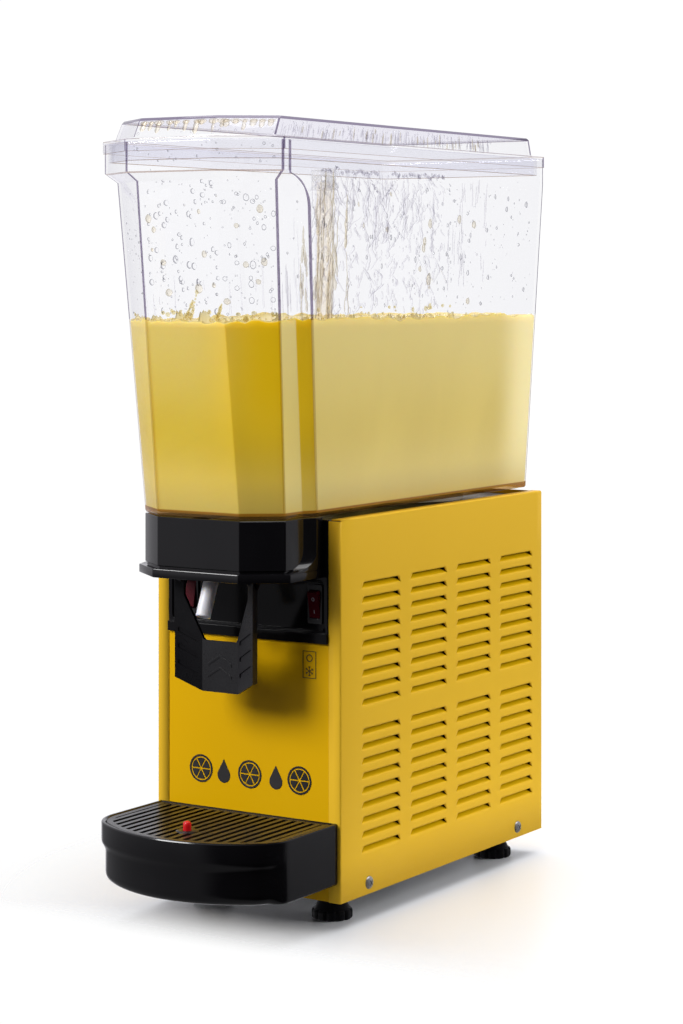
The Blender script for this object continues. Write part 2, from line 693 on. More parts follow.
screws()
cad_copy("front_sheet", "front_panel", 0.35, "painted_front")
cad_copy("rear_sheet", "rear_panel", 0.35)
cad_copy("deck_plate", "top_deck", 0.4)
cad_copy("switch_fascia", "switch_panel", 0.5, "black_fascia")
cad_copy("left_switch_body", "left_switch_housing", 0.35)
cad_copy("right_switch_body", "right_switch_housing", 0.35)
cad_copy("socket_body", "power_inlet", 0.4)
cad_copy("base_sheet", "base_plate", 0.35)
cad_copy("tray_support", "tray_arms", 0.4)


# ------------------------------------------------------------------ cradle


# The faceted front of an outline: half-width, where its sides begin, and the front facet's
# half-width and depth.
LIP = (77.7, -50.0, 43.6, -76.3)
BOWL_FOOT = (72.2, -48.6, 41.6, -71.7)
LIP_TOP = 302.0
CRADLE_REAR = -1.0


def inset(front, w):
    """A faceted front moved inward by w."""
    half, side_y, front_half, front_y = front
    return half - w, side_y + 0.5 * w, front_half - 0.33 * w, front_y + w


def nose(half, side_y, front_half, front_y, y_in, wide, y_out, rear):
    """Outline with a faceted front, which steps out to a wider rear part."""
    return mirrored([(front_half, front_y), (half, side_y), (half, y_in), (wide, y_out),
                     (wide, rear)])


def cradle_corners(z, w=0.0, w_wide=0.0):
    """The lip's outline up to its top, the cradle's above it, inset by w and w_wide behind."""
    if z <= LIP_TOP:
        return nose(*inset(LIP, w), -30, LIP[0] - w, -20, CRADLE_REAR)
    y_out, y_in = -10.4, -22.0
    if z < 316:
        y_out = -50.6 + 40.2 * math.sqrt(max(0.0, 1 - clamp((316 - z) / 14) ** 2))
    if z < 319:
        y_in = -50.0 + 28.0 * math.sqrt(max(0.0, 1 - clamp((319 - z) / 16.4) ** 2))
    front = inset(BOWL_FOOT, w)
    y_in = max(y_in, front[1] + 0.1)
    return nose(*front, y_in, LIP[0] - w_wide, max(y_out, y_in + 0.5), CRADLE_REAR)


def cradle():
    radii = [3.0, 3.0, 2.5, 0.8, 0.8, 0.4, 0.4, 0.8, 0.8, 2.5]
    levels = [(294.7, 0.7), (295.0, 0.2), (295.5, 0.0), (301.2, 0.0), (301.8, 0.25),
              (LIP_TOP, 0.9), (LIP_TOP + 0.02, 1.6), (303.6, 1.6), (304.2, 0.5)]
    levels += [(z, 0.0) for z in (304.6, 305.4, 306.2, 307, 308, 309.2, 310.6, 312.2, 314, 316,
                                  319, 325, 335, 345.0)]
    levels += [(345.45, 0.3), (345.6, 0.9)]
    outside = Shape().solid([lift(fillet(cradle_corners(z, w, w if z > 340 else 0.0), radii), z)
                             for z, w in levels])
    hollow = [(x * 0.999, min(y, -4.0)) for x, y in fillet(cradle_corners(330, 3.0, 3.0), radii)]
    opening = Shape().block((-9, 9), (-69.2, -20), (330, 350))
    mesh = carve(outside.mesh("cradle"), Shape().prism(hollow, 290.0, 341.6), opening)
    place("bowl_support", mesh, "cabinet", ["black_gloss"], stands_for=("bowl_cradle",), degrees=28)
    ears = Shape()
    for s in (-1, 1):
        ears.block((s * 43, s * 47), (-30, -14), (318, 342))
    piece("pin_ears", ears, "cabinet", ["black_gloss"], bevel=0.6)


cradle()


# ------------------------------------------------------------------ bowl, lid and juice

BOWL_Z = 346.0
SHOULDER = (82.0, -75.2, 39.0, -104.0)
RIM = (91.7, -80.0, 42.6, -113.8)
COLLAR = (626.0, 633.8)
ARCH_Z = 600.0
BOWL_REAR = (353.0, 364.1)
BOWL_RADII = [5.0, 4.0, 3.4, 4.0, 5.0, 3.0, 3.0, 5.0, 4.0, 4.0]
DOME_Y, PUMP_Y = 245, 120


def bowl_corners(z, w=0.0):
    """Corners of the bowl's outline at a height, with the wall inset by w. The step between its
    narrow front and wide rear leans forward as it rises, and arches over at its top."""
    if z <= COLLAR[0]:
        t = (z - BOWL_Z) / (COLLAR[0] - BOWL_Z)
        front = [mix(a, b, t) for a, b in zip(BOWL_FOOT, SHOULDER)]
    else:
        t = clamp((z - COLLAR[0]) / (COLLAR[1] - COLLAR[0]))
        front = [mix(a, b, t) for a, b in zip(SHOULDER, RIM)]
    half, side_y = front[:2]
    k = clamp((z - BOWL_Z) / (COLLAR[1] - BOWL_Z))
    wide, rear = mix(78.7, RIM[0], k), mix(*BOWL_REAR, k)
    if z <= ARCH_Z:
        lean = clamp((z - BOWL_Z) / (ARCH_Z - BOWL_Z))
        y_out, y_in = mix(-10.4, -39.4, lean), mix(-22.0, -51.1, lean)
    else:
        y_out = -76.5 + 37.0 * math.sqrt(max(0.0, 1 - ((z - ARCH_Z) / 32.0) ** 2))
        y_in = -76.5 + 25.4 * math.sqrt(max(0.0, 1 - ((z - ARCH_Z) / 20.4) ** 2))
    y_out = max(y_out, side_y)
    y_in = max(min(y_in, y_out), side_y)
    if z >= 619:
        y_in = max(y_in, side_y + 5.0)
        y_out = max(y_out, side_y + 9.0)
    if z >= COLLAR[1]:
        wide = half
    front = inset(front, w)
    y_in, y_out = (max(y + 0.22 * w, front[1]) for y in (y_in, y_out))
    return nose(*front, y_in, wide - w, y_out, rear - w)


def bowl_ring(z, w=0.0, splits=None):
    return lift(fillet(bowl_corners(z, w), [max(0.6, r - w) for r in BOWL_RADII], 4, splits), z)


def ring_at(shape, y, r, z, count):
    return shape.add((a, y + b, z) for a, b in circle(r, count))


def bowl():
    shape = Shape()
    levels = [348.0, 352.0, 400.0, 450.0, 500.0, 511.0, 550.0, 585.0, 600.0, 603.0, 606.0, 609.0,
              612.0, 614.5, 616.5, 618.2, 619.5, 620.4, 622.5, 624.5, 626.0, 627.6, 629.2, 630.6,
              631.6, 632.6, 633.8, 636.0, 645.0, 657.2, 658.0]
    outer = [bowl_ring(346.0, 2.2), bowl_ring(346.5, 0.8)] + [bowl_ring(z) for z in levels]
    rim = [lift(bowl_ring(658.0, w), z)
           for z, w in ((658.45, 0.35), (658.6, 0.9), (658.6, 2.1), (658.45, 2.65))]
    inner = [bowl_ring(z, 3.0) for z in reversed(levels[1:])]
    inner += [bowl_ring(349.6, 3.6), bowl_ring(349.0, 5.0)]
    ids = [shape.add(r) for r in outer + rim + inner]
    step = levels.index(632.6) + 2
    juice_top = levels.index(511.0) + 2
    for i, (a, b) in enumerate(zip(ids, ids[1:])):
        column = [0] * len(a)
        if i < len(outer):
            for k, wide in ((0, 4), (2, 3), (4, 4), (5, 3), (9, 4)):
                column[5 * k:5 * k + wide] = [4 if i < juice_top else 1] * wide
        if i == step:
            column[46:50] = [3] * 4
            column[:11] = [3] * 11
        shape.bridge(a, b, [2] * len(a) if i < 3 else column)
    hole = [ring_at(shape, DOME_Y, r, z, 64)
            for r, z in ((62.2, 346.0), (62.2, 356.6), (63, 357), (64.6, 357), (65.0, 356.6),
                         (65.0, 349.0))]
    for a, b in zip(hole, hole[1:]):
        shape.bridge(a, b, 1)
    mesh = shape.mesh("bowl", clean=False)
    fill_between(mesh, ids[0] + hole[0], ids[-1] + hole[-1])
    place("clear_bowl", mesh, "bowl",
          ["clear_polycarbonate", "clear_edge", "clear_base", "clear_line", "clear_edge_low"],
          stands_for=("bowl",), degrees=40)
    pads = Shape()
    for x in (-50, 50):
        for y in (30, 330):
            pads.block((x - 5, x + 5), (y - 5, y + 5), (339.9, 346.0))
    pads.lathe([(0, 349), (2, 349), (2, 358.4), (1.4, 359), (0, 359)], (0, PUMP_Y, 0), "z", 20)
    piece("bowl_pads", pads, "bowl", ["clear_polycarbonate"], bevel=0.4)


bowl()

LID_BASE = (82.0, -78.4, 40.0, -107.5, 361.0)
LID_TOP = (81.0, -69.2, 38.6, -100.0, 357.0)


def lid_corners(sizes, w):
    """Outline of the lid from its faceted front and its rear, inset by w."""
    half, side_y, front_half, front_y = inset(sizes[:4], w)
    return mirrored([(front_half, front_y), (half, side_y), (half, sizes[4] - w)])


def lid_between(t):
    """Sizes of the dome's outline, from its top at 0 to its foot at 1."""
    return tuple(mix(a, b, t) for a, b in zip(LID_TOP, LID_BASE))


def lid():
    rim = RIM + (BOWL_REAR[1],)
    rows = [(LID_TOP, 9.0, 678.8), (LID_TOP, 3.0, 678.75), (LID_TOP, 1.2, 678.4),
            (LID_TOP, 0.3, 677.4), (lid_between(0.12), 0.0, 676.0),
            (lid_between(0.9), 0.0, 662.6), (LID_BASE, -0.4, 661.4), (LID_BASE, -1.6, 661.0)]
    rows += [(rim, w, z) for w, z in (
        (-0.8, 661.0), (-1.25, 660.8), (-1.4, 660.4), (-1.4, 650.9), (-1.25, 650.5),
        (-0.45, 650.5), (-0.3, 650.9), (-0.3, 658.8), (3.6, 658.8), (3.6, 643.5), (4.0, 643.0),
        (5.4, 643.0), (5.8, 643.5), (5.8, 658.6))]
    rows += [(LID_BASE, 2.6, 659.4), (lid_between(0.9), 2.2, 661.6), (lid_between(0.14), 2.2, 675.2),
             (LID_TOP, 3.4, 676.4), (LID_TOP, 9.0, 676.6)]
    shape = Shape()
    ids = [shape.add(lift(fillet(lid_corners(sizes, w), [4, 4, 4, 6, 6, 4]), z))
           for sizes, w, z in rows]
    edges = {2: 1, 3: 1, 6: 2, 9: 2, 11: 2, 12: 2, 16: 3, 17: 2, 18: 2, 19: 2, 20: 3}
    for i, (a, b) in enumerate(zip(ids, ids[1:])):
        column = [edges.get(i, 0)] * len(a)
        if i in (4, 10):
            for k in (0, 2, 3, 5):
                column[5 * k + 1] = column[5 * k + 2] = 1
        shape.bridge(a, b, column)
    shape.face(reversed(ids[0]))
    shape.face(ids[-1])
    piece("clear_lid", shape, "lid",
          ["clear_polycarbonate", "clear_edge", "clear_line", "clear_tint"],
          stands_for=("lid",), degrees=19)


lid()

JUICE_SPLITS = [20, 8, 8, 2, 60, 30, 60, 2, 8, 8]
JUICE_GAP = 1.1


def juice():
    """A body of juice with holes for the cold dome and the pump cover, and a lumpy surface."""
    shape = Shape()

    def juice_ring(z, gap=JUICE_GAP):
        return bowl_ring(z, gap, JUICE_SPLITS)

    ids = [shape.add(juice_ring(349.3, JUICE_GAP + 1.6))]
    ids += [shape.add(juice_ring(z)) for z in (351.0, 380.0, 410.0, 440.0, 470.0, 490.0, 500.0,
                                               504.0)]
    for a, b in zip(ids, ids[1:]):
        shape.bridge(a, b)

    def surface_z(x, y, near):
        p = Vector((x / 17.0, y / 17.0, 3.1))
        slow = noise.noise(Vector((x / 60.0, y / 60.0, 9.0)))
        small = noise.noise(p) * 0.6 + noise.noise(p * 2.3) * 0.4
        return 509.5 + 2.2 * slow + (4.2 * near + 0.8) * small

    ring = ids[-1]
    for k, near, lump in ((0.0, 1.0, 0.0), (0.8, 1.0, 1.5), (2.5, 1.0, 1.5), (5.0, 0.8, 0.0),
                          (9.0, 0.5, 0.0), (15.0, 0.25, 0.0), (25.0, 0.1, 0.0)):
        new = shape.add((x, y, surface_z(x, y, near) + lump)
                        for x, y, _ in juice_ring(510.0, JUICE_GAP + k))
        shape.bridge(ring, new)
        ring = new
    shape.face(ring)
    gap = list(ids[0])
    for y, r, top in ((DOME_Y, 66.0, 405.0), (PUMP_Y, 34.6, 366.6)):
        low, high = ring_at(shape, y, r, 349.3, 48), ring_at(shape, y, r, top, 48)
        shape.bridge(low, high)
        shape.face(high)
        gap += low
    mesh = shape.mesh("juice", clean=False)
    fill_between(mesh, gap)
    place("juice", mesh, "bowl", ["juice"], degrees=60)
    column = Shape()
    column.lathe([(0, 500), (6.3, 500), (6.3, 631.0), (0, 631.4)], (0, PUMP_Y, 0), "z", 24)
    piece("juice_column", column, "bowl", ["juice_thin"], degrees=40)


juice()


# ------------------------------------------------------------------ splashes, drops and foam


WALL = 3.0
# Sides of the bowl's outline, in order. The step and nose on its left have nothing on them.
FRONT_PANE, RIGHT_FACET, RIGHT_NOSE, RIGHT_STEP, RIGHT_PANE, REAR_PANE, LEFT_PANE = range(7)
LEFT_FACET = 9
LID_SIDE = 2


def on_side(corners, face, t, z):
    """The point part t along a side of an outline, at height z."""
    a, b = corners[face], corners[(face + 1) % len(corners)]
    return Vector((mix(a[0], b[0], t), mix(a[1], b[1], t), z))


def wall(face, t, z):
    return on_side(bowl_corners(z, WALL), face, t, z)


def side_length(surface_at, face, z):
    return (surface_at(face, 1.0, z) - surface_at(face, 0.0, z)).length


def wall_axes(where):
    """Point, sideways, upward and inward directions at (0, 0) on a surface, where(side, up)."""
    p = where(0.0, 0.0)
    middle = Vector((0, 130, p.z))
    side = (where(0.5, 0.0) - p).normalized()
    up = (where(0.0, 0.5) - p).normalized()
    inward = side.cross(up).normalized()
    if inward.dot(middle - p) < 0:
        inward = -inward
    return p, side, up, inward


def on_wall(face, t, z):
    length = max(side_length(wall, face, z), 1e-6)
    return wall_axes(lambda du, dz: wall(face, t + du / length, z + dz))


def drop(shape, place_at, r, tall, height, rng, count=12):
    """A flattened drop on a wall, with an uneven outline."""
    p, side, up, inward = place_at
    seed = rng.uniform(0, 50)
    inner = 1 - min(0.42, max(0.2, 0.45 / r))
    rings = []
    for k, h in ((1.0, -0.05), (inner, 0.6), (inner * 0.7, 0.86), (inner * 0.35, 0.98)):
        ring = []
        for i in range(count):
            a = 2 * math.pi * i / count
            c, v = math.cos(a), math.sin(a)
            uneven = 1 + 0.16 * noise.noise(Vector((c * 1.3 + seed, v * 1.3, seed)))
            long = tall if v > 0 else 0.5 * (1 + tall)
            ring.append(p + side * (r * k * c * uneven) + up * (r * k * v * uneven * long)
                        + inward * (height * h))
        rings.append(shape.add(ring))
    for mark, low, high in zip((1, 0, 0), rings, rings[1:]):
        shape.bridge(low, high, mark)
    shape.face(rings[-1])


def run(shape, place_of, z_top, length, width, height, rng, sway=1.0, head=1.3, taper=0.5):
    """A trickle down a wall, thicker at its lower end. place_of gives the wall at (offset, z)."""
    count = max(5, int(length / 2.2))
    seed = rng.uniform(0, 90)
    rings = []
    for i in range(count + 1):
        f = i / count
        z = z_top - length * f
        drift = sway * (noise.noise(Vector((seed, z / 16.0, 0.0)))
                        + 0.5 * noise.noise(Vector((seed, z / 4.5, 7.0))))
        p, side, _, inward = place_of(drift, z)
        swell = mix(taper, 1.0, min(1.0, f * 3)) * (1 + 0.35 * noise.noise(
            Vector((seed, z / 7.0, 3.0))))
        if f > 0.8:
            swell *= mix(1.0, head, (f - 0.8) / 0.2)
        if i in (0, count):
            swell *= 0.3
        half, high = 0.5 * width * swell, height * swell
        rings.append([p + side * (half * u) + inward * v
                      for u, v in ((-1, -0.05), (-0.6, high * 0.7), (0, high), (0.6, high * 0.7),
                                   (1, -0.05))])
    shape.skin(rings, [1, 0, 0, 1], closed=False)


def splashes():
    """Drops and runs on the bowl's walls, and foam along the edge of the juice."""
    rng = random.Random(7)
    drops, runs, film, foam = Shape(), Shape(), Shape(), Shape()

    def scatter(shape, face, count, t, z, r, tall=(0.9, 1.3), lean=1.8):
        for _ in range(count):
            k = rng.random() ** lean
            drop(shape, on_wall(face, rng.uniform(*t), rng.uniform(*z)), mix(r[0], r[1], k),
                 rng.uniform(*tall), mix(r[0], r[1], k) * rng.uniform(0.55, 0.85), rng)

    scatter(drops, FRONT_PANE, 150, (0.05, 0.96), (516, 628), (0.5, 2.7), (0.85, 1.6), 3.0)
    scatter(drops, RIGHT_FACET, 90, (0.04, 0.96), (516, 628), (0.5, 2.7), (0.85, 1.7), 3.0)
    scatter(drops, LEFT_FACET, 60, (0.1, 0.9), (515, 622), (0.3, 1.0))
    scatter(drops, FRONT_PANE, 20, (0.05, 0.95), (640, 656), (0.4, 1.3))
    scatter(drops, RIGHT_FACET, 14, (0.05, 0.95), (640, 656), (0.4, 1.3))
    scatter(drops, RIGHT_PANE, 120, (0.55, 0.98), (515, 630), (0.4, 2.1), (0.9, 1.9), 2.4)
    scatter(drops, RIGHT_PANE, 90, (0.03, 0.6), (515, 640), (0.4, 1.8), (1.0, 2.6), 2.0)
    scatter(drops, LEFT_PANE, 60, (0.1, 0.9), (520, 640), (0.4, 1.7))
    scatter(drops, REAR_PANE, 40, (0.05, 0.95), (520, 640), (0.4, 1.7))
    scatter(film, FRONT_PANE, 9, (0.06, 0.95), (520, 610), (1.4, 3.6), (0.9, 1.4), 1.0)
    scatter(film, RIGHT_FACET, 6, (0.06, 0.9), (520, 610), (1.4, 3.4), (0.9, 1.4), 1.0)
    scatter(film, RIGHT_PANE, 14, (0.05, 0.7), (515, 620), (1.2, 3.2), (1.0, 2.4), 1.0)

    def down(face, t):
        return lambda offset, z: on_wall(face, t + offset / side_length(wall, face, z), z)

    def side_at(y):
        """The side wall straight down from a depth, behind the curved end of the nose."""
        def place_of(offset, z):
            a, b = wall(RIGHT_PANE, 0.0, z), wall(RIGHT_PANE, 1.0, z)
            t = (max(y + offset, a.y + 1.5) - a.y) / (b.y - a.y)
            return on_wall(RIGHT_PANE, t, z)
        return place_of

    def slanted(place_of, slant, top):
        return lambda offset, z: place_of(offset + slant * (top - z), z)

    for k in range(250):
        y = -34 + 216 * rng.random() ** 1.15
        top = rng.uniform(612, 638) if k % 4 == 0 else rng.uniform(514, 636)
        long = k % 8 == 0
        length = min(top - 507, rng.uniform(24, 55) if long else rng.uniform(4, 17))
        slant = 0.0 if long else rng.uniform(-1.3, 1.3)
        run(runs, slanted(side_at(y), slant, top), top, length, rng.uniform(1.6, 5.5),
            rng.uniform(0.4, 0.9), rng, rng.uniform(3.0, 10.0))
    for _ in range(220):
        y = -34 + 216 * rng.random() ** 1.1
        drop(runs, side_at(y)(0.0, rng.uniform(512, 636)), rng.uniform(0.6, 1.9),
             rng.uniform(1.2, 4.0), rng.uniform(0.4, 1.0), rng, 10)
    for _ in range(34):
        top = rng.uniform(560, 636)
        run(runs, side_at(rng.uniform(182, 262)), top, rng.uniform(6, 34), rng.uniform(0.5, 1.2), 0.5,
            rng, 1.6)
    for low, high in ((-20, 70), (92, 182)):
        for _ in range(int((high - low) * 1.3)):
            y = rng.uniform(low, high)
            sag = 3.0 * noise.noise(Vector((y / 9.0, 1.0, 4.0)))
            drop(runs, side_at(y)(0.0, 635.5 + sag + rng.uniform(-1.4, 1.4)), rng.uniform(0.6, 2.0),
                 rng.uniform(0.6, 1.1), rng.uniform(0.6, 1.2), rng, 9)
    for _ in range(70):
        f = rng.random()
        y = 78 + rng.choice((-1, 1)) * 26 * f
        drop(runs, side_at(y)(0.0, 612 + 22 * f + rng.uniform(-1.5, 1.5)), rng.uniform(0.5, 1.3), 1.2,
             rng.uniform(0.5, 1.0), rng, 9)
    for _ in range(30):
        y = rng.choice((rng.gauss(-16, 5), rng.gauss(2, 3), rng.uniform(-30, 40)))
        top = rng.uniform(540, 638)
        run(film, side_at(max(y, -32)), top, min(top - 505, rng.uniform(20, 90)),
            rng.uniform(1.0, 4.2), rng.uniform(0.3, 0.7), rng, rng.uniform(1.0, 4.0))
    for face, count, highest in ((RIGHT_NOSE, 10, 598), (RIGHT_STEP, 16, 598),
                                 (RIGHT_FACET, 5, 560), (FRONT_PANE, 4, 560)):
        for _ in range(count):
            top = rng.uniform(530, highest)
            run(runs, down(face, rng.uniform(0.08, 0.92)), top, rng.uniform(8, min(60, top - 506)),
                rng.uniform(0.6, 1.6), 0.5, rng, 1.0)
    for _ in range(10):
        run(film, down(RIGHT_STEP, rng.uniform(0.3, 0.95)), rng.uniform(530, 590), rng.uniform(14, 26),
            rng.uniform(1.0, 2.6), 0.5, rng, 1.2)

    def ledge(face, t0, t1, z, rise):
        """Uneven rim of foam left on the wall above the juice."""
        length = side_length(wall, face, z) * (t1 - t0)
        count = max(4, int(length / 1.1))
        rings = []
        for i in range(count + 1):
            t = mix(t0, t1, i / count)
            s = i / count * length + face * 77.0
            high = rise * (0.55 + 0.8 * noise.noise(Vector((s / 13.0, 2.0, 5.0)))
                           + 0.45 * noise.noise(Vector((s / 3.7, 9.0, 1.0)))
                           + 0.25 * noise.noise(Vector((s / 1.6, 4.0, 8.0)))) * 1.35
            high = max(0.6, high)
            ring = []
            for f, out in ((0.0, 1.0), (0.35, 1.5), (0.7, 1.1), (0.92, 0.7), (1.0, 0.0)):
                p, _, _, inward = on_wall(face, t, z + high * f)
                ring.append(p + inward * (out * (0.8 + 0.5 * noise.noise(
                    Vector((s / 2.5, f * 3.0, 6.0))))))
            rings.append(ring)
        foam.skin(rings, 0, closed=False)

    for face, t0, t1, rise in (
            (LEFT_FACET, 0.0, 1.0, 8.0), (FRONT_PANE, 0.0, 1.0, 9.0), (RIGHT_FACET, 0.0, 1.0, 8.0),
            (RIGHT_NOSE, 0.0, 1.0, 6.0), (RIGHT_STEP, 0.0, 1.0, 6.0), (RIGHT_PANE, 0.0, 0.62, 7.5),
            (RIGHT_PANE, 0.62, 1.0, 3.0), (REAR_PANE, 0.0, 1.0, 3.0), (LEFT_PANE, 0.0, 1.0, 4.0)):
        ledge(face, t0, t1, 506.5, rise)
    for face, count, t, z in (
            (FRONT_PANE, 22, (0.02, 0.98), (508, 519)), (RIGHT_FACET, 18, (0.02, 0.98), (508, 517)),
            (LEFT_FACET, 8, (0.05, 0.95), (508, 516)), (RIGHT_NOSE, 5, (0.1, 0.9), (508, 515)),
            (RIGHT_STEP, 7, (0.05, 0.95), (508, 515)), (RIGHT_PANE, 60, (0.0, 0.62), (508, 521)),
            (RIGHT_PANE, 20, (0.62, 1.0), (507, 513))):
        for _ in range(count):
            high = z[0] + (z[1] - z[0]) * rng.random() ** 1.5
            drop(foam, on_wall(face, rng.uniform(*t), high),
                 rng.uniform(0.7, 2.6), rng.uniform(0.7, 1.2), rng.uniform(0.8, 1.8), rng, 10)
    for x0, x1, z0, z1 in ((0.56, 0.66, 512, 534), (0.50, 0.60, 514, 526), (0.9, 0.97, 512, 524)):
        for k in range(9):
            f = k / 8
            drop(foam, on_wall(FRONT_PANE, mix(x0, x1, f), mix(z0, z1, f)), rng.uniform(0.8, 1.9), 1.3,
                 1.2, rng, 10)
    piece("clear_drops", drops, "bowl", ["drop", "drop_rim"], degrees=80)
    piece("clear_runs", runs, "bowl", ["run", "run_rim"], degrees=80)
    piece("pulpy_runs", film, "bowl", ["film", "film_rim"], degrees=80)
    piece("foam_edge", foam, "bowl", ["foam_juice", "foam_rim"], degrees=80)


def lid_drips():
    """Drips and streaks under the lid's dome."""
    rng = random.Random(11)
    drips, streaks = Shape(), Shape()

    def dome(face, t, z):
        return on_side(lid_corners(lid_between((678.8 - z) / 17.8), 2.2), face, t, z)

    def down(face, t):
        def place_of(offset, z):
            length = side_length(dome, face, z)
            return wall_axes(lambda u, dz: dome(face, t + (offset + u) / length, z + dz))
        return place_of

    for face, count in ((FRONT_PANE, 9), (RIGHT_FACET, 7)):
        for i in range(count):
            t = (i + rng.uniform(0.2, 0.8)) / count
            run(drips, down(face, t), 675.6, rng.uniform(4, 12), rng.uniform(3.0, 5.5), 0.8, rng,
                0.4, 1.1, 1.1)
            drop(drips, down(face, t)(0.0, 674.6), rng.uniform(3.0, 5.5), 0.3, 0.8, rng)
    for i in range(190):
        t = 0.02 + 0.80 * rng.random()
        high = rng.uniform(667, 675.4)
        run(drips if i % 7 == 0 else streaks, down(LID_SIDE, t), high,
            min(high - 661.5, rng.uniform(4, 13)), rng.uniform(0.8, 3.0 if i % 7 == 0 else 2.0),
            0.5, rng, 0.8, 1.2, 0.8)
    for _ in range(120):
        t = 0.03 + 0.8 * rng.random()
        drop(streaks, down(LID_SIDE, t)(0.0, rng.uniform(663, 675)), rng.uniform(0.5, 1.6), 1.4,
             0.5, rng)
    for face in (FRONT_PANE, RIGHT_FACET):
        for _ in range(14):
            drop(streaks, down(face, rng.random())(0.0, rng.uniform(663, 674)),
                 rng.uniform(0.4, 1.3), 1.3, 0.5, rng)
    piece("lid_drips", drips, "lid", ["film", "film_rim"], degrees=80)
    piece("lid_streaks", streaks, "lid", ["run", "run_rim"], degrees=80)


splashes()
lid_drips()


# ------------------------------------------------------------------ tap and lever


def lever():
    plan = [(-40, -49.6), (-18.3, -40), (18.3, -40), (40, -49.6), (40, -42.6), (37, -42.6),
            (37, -45), (17.6, -37), (-17.6, -37), (-37, -45), (-37, -42.6), (-40, -42.6)]
    window = fillet([(-17, 240), (17, 240), (33, 278), (33, 330), (-33, 330), (-33, 278)],
                    [4, 4, 6, 1, 1, 6], 5)
    cuts = [Shape().prism(window, -60, -30, "y")]
    for s in (-1, 1):
        cuts.append(Shape().prism([(s * 18.3, 190), (s * 41, 190), (s * 41, 208.8),
                                   (s * 18.3, 197)], -60, -30, "y"))
    wing = Vector((21.7, -9.6, 0)).normalized()
    outward = Vector((wing.y, -wing.x, 0))
    groove = fillet([(-9.2, -4.2), (9.2, 5.4), (9.2, 9.4), (-9.2, -0.2)], 1.9)
    for s in (-1, 1):
        for z_mid in (214.5, 228.1, 241.7):
            rings = []
            for depth in (0.9, -3.0):
                points = [(Vector((29.2, -44.8, 0)) + wing * u - outward * depth, v)
                          for u, v in groove]
                rings.append([(s * p.x, p.y, z_mid + v) for p, v in points])
            cuts.append(Shape().solid(rings))
    mesh = carve(Shape().prism(plan, 197, 306).mesh("lever"), *cuts)
    place("push_plate", mesh, "lever", ["black_satin"], stands_for=("push_lever",), bevel=0.7,
          segments=3, degrees=20)
    arms = Shape()
    outline = fillet([(-49, 290), (-42.6, 284), (-14.5, 322), (-16, 333), (-28, 333)],
                     [1, 1, 5, 7, 5])
    for s in (-1, 1):
        arms.prism(outline, s * 34.0, s * 40.0, "x")
    arms.block((-36, 36), (-38.8, -34.6), (301, 309))
    piece("lever_arms", arms, "lever", ["black_satin"], bevel=0.6)


def lever_mark():
    """A generic raised mark where the lever is pressed: two chevrons."""
    shape = Shape()
    for z in (211.5, 221.5):
        chevron = [(-12, z), (0, z + 7.5), (12, z), (12, z - 2.4), (0, z + 5.1), (-12, z - 2.4)]
        shape.prism(chevron, -40.5, -39.4, "y")
    piece("press_mark", shape, "lever", ["black_satin"], bevel=0.2)


def switch_marks():
    """The printed label: a thin frame, a ring for off and a snowflake for cooling."""
    shape = Shape()
    middle_x, middle_z = 63.6, 220.5
    back, front = 0.38, 0.08

    def bar(x0, z0, x1, z1, width):
        start, stop = Vector((x0, z0)), Vector((x1, z1))
        run_along = stop - start
        side = Vector((run_along.y, -run_along.x)).normalized() * width / 2
        shape.prism([(middle_x + p.x, middle_z + p.y) for p in
                     (start + side, stop + side, stop - side, start - side)], front, back, "y")

    for z in (-11.25, 11.25):
        bar(-6.7, z, 6.7, z, 0.5)
    for x in (-6.45, 6.45):
        bar(x, -11.0, x, 11.0, 0.5)
    shape.loop_of_rings([[(middle_x + a, y, middle_z + 5.5 + b) for a, b in circle(r, 36)]
                         for r, y in ((3.1, back), (3.1, front), (2.4, front), (2.4, back))])
    low = -5.5
    for k in range(6):
        a = math.radians(60 * k + 30)
        c, v = math.cos(a), math.sin(a)
        bar(0.3 * c, low + 0.3 * v, 4.2 * c, low + 4.2 * v, 0.5)
        for turn in (-0.8, 0.8):
            bar(2.7 * c, low + 2.7 * v, 2.7 * c + 1.5 * math.cos(a + turn),
                low + 2.7 * v + 1.5 * math.sin(a + turn), 0.35)
    piece("switch_marks", shape, "cabinet", ["black_print"], stands_for=("switch_label",), merge=0)


def rocker_marks(name, x, tilt):
    """The ring and bar of a power switch, raised on a tilted rocker."""
    shape = Shape()
    face, top = -4.05, -4.28
    c, v = math.cos(math.radians(tilt)), math.sin(math.radians(tilt))

    def turned(u, y, z):
        return (x + u, 1 + y * c - z * v, 272 + y * v + z * c)

    shape.loop_of_rings([[turned(0.8 * a, y, 5.2 + b) for a, b in circle(r, 24)]
                         for r, y in ((1.75, face), (1.75, top), (1.15, top), (1.15, face))])
    shape.solid([[turned(u, y, z) for u, z in ((-0.32, -7.2), (0.32, -7.2), (0.32, -4.0),
                                               (-0.32, -4.0))] for y in (top, face)])
    piece(name + "_marks", shape, name, ["white_mark"])


def tap_tube():
    lean = math.radians(21.4)
    across = Vector((1, 0, 0))
    axis = Vector((0, math.sin(lean), math.cos(lean)))
    other = axis.cross(across)
    base = Vector((0, -64.2, 263))
    profile = [(4.0, 0.6), (4.5, 0.1), (5.8, 0.0), (6.3, 0.4), (6.4, 1.2), (6.38, 20), (6.42, 40),
               (6.4, 60), (6.4, 82), (4.0, 82), (4.0, 40)]
    shape = Shape()
    shape.loop_of_rings([[base + axis * h + a * across + b * other for a, b in circle(r, 40)]
                         for r, h in profile])
    piece("tap_hose", shape, "bowl", ["white_silicone"], stands_for=("tap_tube",), degrees=50)


lever()
switch_marks()
lever_mark()
rocker_marks("right_rocker", 70, 11)
tap_tube()


# ------------------------------------------------------------------ drip tray


